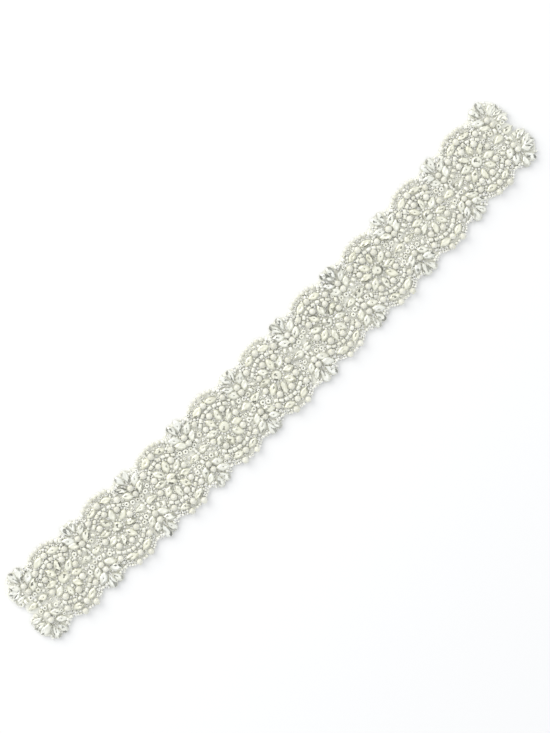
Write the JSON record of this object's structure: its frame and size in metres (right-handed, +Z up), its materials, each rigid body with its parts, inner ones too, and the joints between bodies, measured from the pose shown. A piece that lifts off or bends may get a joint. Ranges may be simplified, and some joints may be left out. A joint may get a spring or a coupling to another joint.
{
  "type": "bridal sash",
  "caption": "Beaded bridal sash trim of net with crystal rosettes, pearl arches and crystal palmettes, lying flat in a slight curve.",
  "frame": {"origin": "under the middle of the sash's box, on the surface that it lies on", "axes": "+X along the sash, +Y across it to the edge that the ends bend towards, +Z up from the surface"},
  "size_m": [0.4396, 0.0576, 0.005],
  "materials": {
    "net": "matte stiffened net",
    "pearl": "ivory pearl lustre",
    "crystal": "clear cut stone with a silver foil back",
    "seed_bead": "silver-lined glass",
    "setting": "silver-plated claw cups",
    "thread": "polyester thread"
  },
  "bodies": {
    "root": {"net_strip": "net", "rosette_1": "crystal", "arch_upper_1": "pearl", "arch_lower_1": "pearl", "rosette_2": "crystal", "arch_upper_2": "pearl", "arch_lower_2": "pearl", "rosette_3": "crystal", "arch_upper_3": "pearl", "arch_lower_3": "pearl", "rosette_4": "crystal", "arch_upper_4": "pearl", "arch_lower_4": "pearl", "rosette_5": "crystal", "arch_upper_5": "pearl", "arch_lower_5": "pearl", "rosette_6": "crystal", "arch_upper_6": "pearl", "arch_lower_6": "pearl", "rosette_7": "crystal", "arch_upper_7": "pearl", "arch_lower_7": "pearl", "rosette_8": "crystal", "arch_upper_8": "pearl", "arch_lower_8": "pearl", "rosette_9": "crystal", "arch_upper_9": "pearl", "arch_lower_9": "pearl", "palmette_upper_1": "crystal", "palmette_lower_1": "crystal", "link_1": "crystal", "palmette_upper_2": "crystal", "palmette_lower_2": "crystal", "link_2": "crystal", "palmette_upper_3": "crystal", "palmette_lower_3": "crystal", "link_3": "crystal", "palmette_upper_4": "crystal", "palmette_lower_4": "crystal", "link_4": "crystal", "palmette_upper_5": "crystal", "palmette_lower_5": "crystal", "link_5": "crystal", "palmette_upper_6": "crystal", "palmette_lower_6": "crystal", "link_6": "crystal", "palmette_upper_7": "crystal", "palmette_lower_7": "crystal", "link_7": "crystal", "palmette_upper_8": "crystal", "palmette_lower_8": "crystal", "link_8": "crystal", "palmette_upper_9": "crystal", "palmette_lower_9": "crystal", "link_9": "crystal", "palmette_upper_10": "crystal", "palmette_lower_10": "crystal", "link_10": "crystal"}
  },
  "joints": []
}
